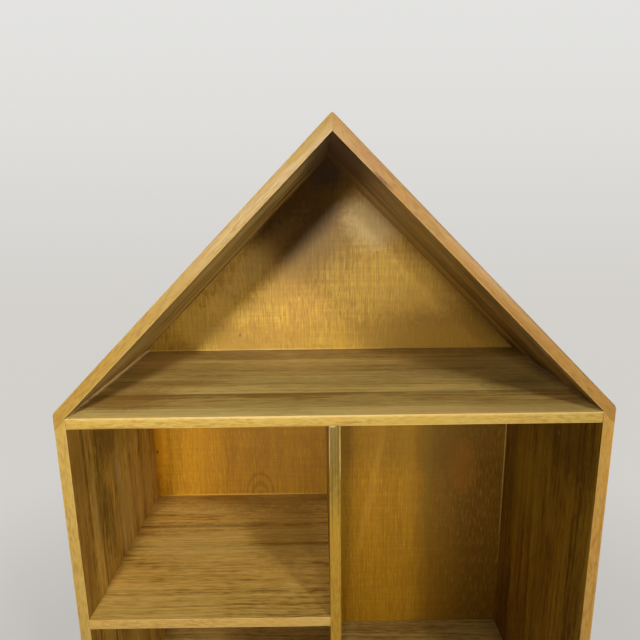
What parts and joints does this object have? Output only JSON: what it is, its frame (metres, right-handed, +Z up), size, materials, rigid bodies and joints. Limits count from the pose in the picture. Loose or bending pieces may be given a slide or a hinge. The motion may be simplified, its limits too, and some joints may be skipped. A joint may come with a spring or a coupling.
{
  "type": "house shaped bookcase",
  "caption": "Open wooden bookcase in the outline of a house: an attic under a pitched roof, over a divided lower part with a shelf on the left.",
  "frame": {"origin": "on the floor, under the middle of the case's width and depth", "axes": "+Z up, -Y towards the open front, +X to the right as seen from the front"},
  "size_m": [0.72, 0.33, 0.984],
  "materials": {
    "case_wood": "edge-glued solid wood, satin varnish",
    "back_plywood": "5 mm plywood, satin varnish in front",
    "joint_wood": "plain beech",
    "fastener_steel": "bright steel",
    "glide_plastic": "matte moulded plastic"
  },
  "bodies": {
    "root": {"side_left": "case_wood", "side_right": "case_wood", "roof_left": "case_wood", "roof_right": "case_wood", "attic_floor": "case_wood", "centre_divider": "case_wood", "left_shelf": "case_wood", "bottom_board": "case_wood", "back_panel": "back_plywood", "ridge_biscuits": "joint_wood", "eave_dowels_left": "joint_wood", "eave_dowels_right": "joint_wood", "shelf_dowels_side": "joint_wood", "shelf_dowels_divider": "joint_wood", "divider_top_dowels": "joint_wood", "divider_foot_dowels": "joint_wood", "bottom_dowels_left": "joint_wood", "bottom_dowels_right": "joint_wood", "back_panel_pins": "fastener_steel", "floor_glides": "glide_plastic", "glide_nails": "fastener_steel"}
  },
  "joints": []
}
